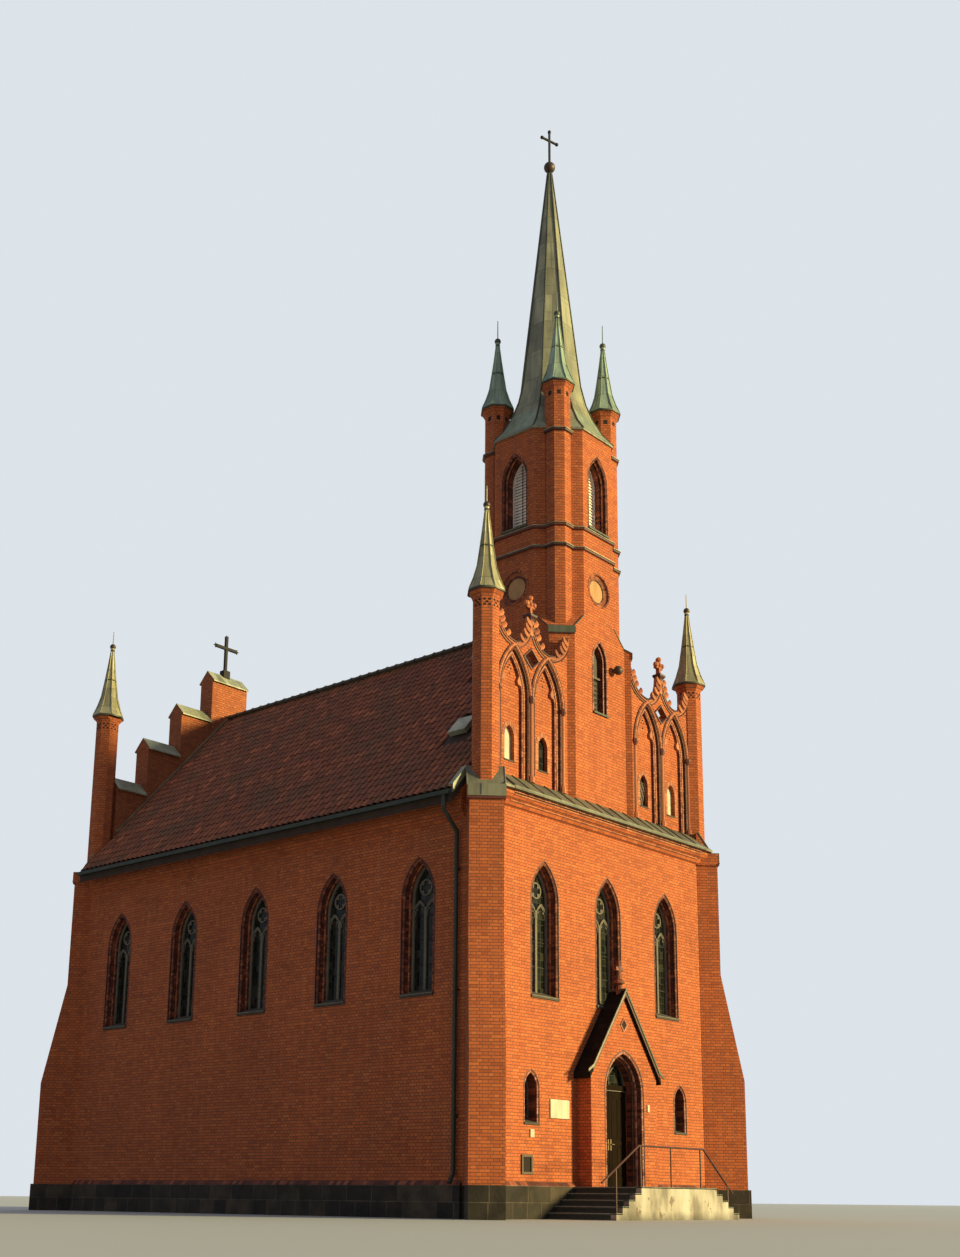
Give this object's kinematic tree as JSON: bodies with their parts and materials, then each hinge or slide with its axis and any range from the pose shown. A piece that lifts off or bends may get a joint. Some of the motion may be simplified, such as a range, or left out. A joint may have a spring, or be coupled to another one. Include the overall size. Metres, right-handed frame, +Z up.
{
  "type": "brick church",
  "caption": "Brick Gothic Revival church: hollow nave, octagonal tower with copper spire, corner turrets, stepped rear gable, gabled porch with opening doors, and steps.",
  "frame": {"origin": "on the ground, in the plane of the front wall's brick face, on the building's centre line", "axes": "+X along the front, to the right of someone who faces the door; +Y from the front back along the nave; +Z up"},
  "size_m": [11.1382, 18.5091, 30.94],
  "materials": {
    "brick": "rough orange-red facing brick",
    "granite": "rough dressed granite",
    "copper": "weathered green-brown sheet copper",
    "roof_tile": "dark red clay pantiles",
    "timber": "dark painted timber",
    "glass": "dark window glass",
    "iron": "red-brown painted iron",
    "render": "stained white render",
    "louvre": "pale painted louvre boards",
    "zinc": "dull sheet metal"
  },
  "bodies": {
    "church": {"plinth": "granite", "corner_turret_front_left": "brick", "corner_turret_front_right": "brick", "corner_turret_rear_left": "brick", "corner_turret_rear_right": "brick", "corner_spirelet_front_left": "copper", "corner_spirelet_front_right": "copper", "corner_spirelet_rear_left": "copper", "corner_spirelet_rear_right": "copper", "front_wall_left": "brick", "front_wall_right": "brick", "front_wall_upper": "brick", "transom_light": "glass", "front_glazing": "glass", "front_ledge": "copper", "arcade_left": "brick", "arcade_right": "brick", "nave_wall_left_front": "brick", "nave_wall_left_rear": "brick", "nave_wall_right_front": "brick", "nave_wall_right_rear": "brick", "nave_glazing_left": "glass", "nave_glazing_right": "glass", "rear_gable": "brick", "rear_glazing": "glass", "rear_cross": "copper", "roof_slope_left": "roof_tile", "roof_slope_right": "roof_tile", "gutter_left": "zinc", "gutter_right": "zinc", "downpipe_left": "zinc", "downpipe_right": "zinc", "roof_hatch": "copper", "tower_base": "brick", "tower_window": "louvre", "tower_inner_arch": "brick", "tower_belfry": "brick", "belfry_louvres": "louvre", "tower_turret_front_left": "brick", "tower_turret_front_right": "brick", "tower_turret_rear_left": "brick", "tower_turret_rear_right": "brick", "tower_spirelet_front_left": "copper", "tower_spirelet_front_right": "copper", "tower_spirelet_rear_left": "copper", "tower_spirelet_rear_right": "copper", "spire": "copper", "spire_cross": "copper", "porch_walls": "brick", "porch_roof": "roof_tile", "porch_finial": "brick", "door_frame": "timber", "stair_landing": "granite", "stair_flight_left": "granite", "stair_flight_right": "granite", "stair_cheek": "render", "handrail": "iron"},
    "door_left": {"door_leaf_left": "timber"},
    "door_right": {"door_leaf_right": "timber"}
  },
  "joints": [
    {"name": "door_left_hinge", "type": "hinge", "parent": "church", "child": "door_left", "pos_m": [-0.6525, 0.136, 1.85], "axis": [0, 0, 1], "range_deg": [0, 95]},
    {"name": "door_right_hinge", "type": "hinge", "parent": "church", "child": "door_right", "pos_m": [0.6525, 0.136, 1.85], "axis": [0, 0, -1], "range_deg": [0, 95]}
  ]
}
